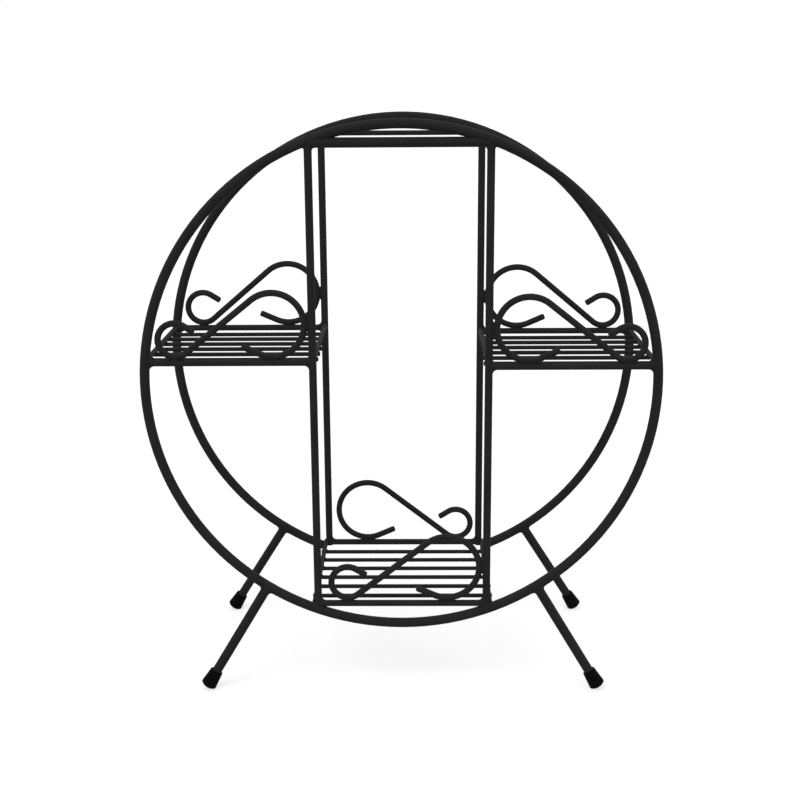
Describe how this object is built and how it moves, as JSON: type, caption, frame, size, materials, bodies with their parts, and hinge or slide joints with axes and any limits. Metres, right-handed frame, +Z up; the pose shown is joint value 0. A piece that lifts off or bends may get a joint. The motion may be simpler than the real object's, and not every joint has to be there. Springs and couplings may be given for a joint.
{
  "type": "plant stand",
  "caption": "Round plant stand of black round bar: upright rings in front and behind, wire shelves at the sides and the bottom with scroll guards, splayed legs on rubber feet.",
  "frame": {"origin": "on the floor, under the middle of the two rings", "axes": "+X to the right as seen from the front, +Y from the front ring to the rear ring, +Z up"},
  "size_m": [0.632, 0.2692, 0.7079],
  "materials": {
    "steel": "satin charcoal-black powder coat",
    "rubber": "matt black"
  },
  "bodies": {
    "root": {"front_ring": "steel", "rear_ring": "steel", "front_left_upright": "steel", "rear_left_upright": "steel", "front_right_upright": "steel", "rear_right_upright": "steel", "front_top_bar": "steel", "rear_top_bar": "steel", "left_shelf_front_rail": "steel", "left_shelf_rear_rail": "steel", "left_shelf_outer_spreader": "steel", "left_shelf_inner_spreader": "steel", "left_shelf_wire_1": "steel", "left_shelf_wire_2": "steel", "left_shelf_wire_3": "steel", "left_shelf_wire_4": "steel", "left_shelf_wire_5": "steel", "left_shelf_wire_6": "steel", "left_shelf_front_scroll": "steel", "left_shelf_rear_scroll": "steel", "right_shelf_front_rail": "steel", "right_shelf_rear_rail": "steel", "right_shelf_outer_spreader": "steel", "right_shelf_inner_spreader": "steel", "right_shelf_wire_1": "steel", "right_shelf_wire_2": "steel", "right_shelf_wire_3": "steel", "right_shelf_wire_4": "steel", "right_shelf_wire_5": "steel", "right_shelf_wire_6": "steel", "right_shelf_front_scroll": "steel", "right_shelf_rear_scroll": "steel", "bottom_shelf_front_rail": "steel", "bottom_shelf_rear_rail": "steel", "bottom_shelf_left_spreader": "steel", "bottom_shelf_right_spreader": "steel", "bottom_shelf_wire_1": "steel", "bottom_shelf_wire_2": "steel", "bottom_shelf_wire_3": "steel", "bottom_shelf_wire_4": "steel", "bottom_shelf_wire_5": "steel", "bottom_shelf_wire_6": "steel", "bottom_shelf_front_scroll": "steel", "bottom_shelf_rear_scroll": "steel", "front_left_leg": "steel", "front_right_leg": "steel", "rear_left_leg": "steel", "rear_right_leg": "steel", "front_left_foot": "rubber", "front_right_foot": "rubber", "rear_left_foot": "rubber", "rear_right_foot": "rubber", "upright_welds": "steel", "left_shelf_welds": "steel", "right_shelf_welds": "steel", "leg_welds": "steel"}
  },
  "joints": []
}
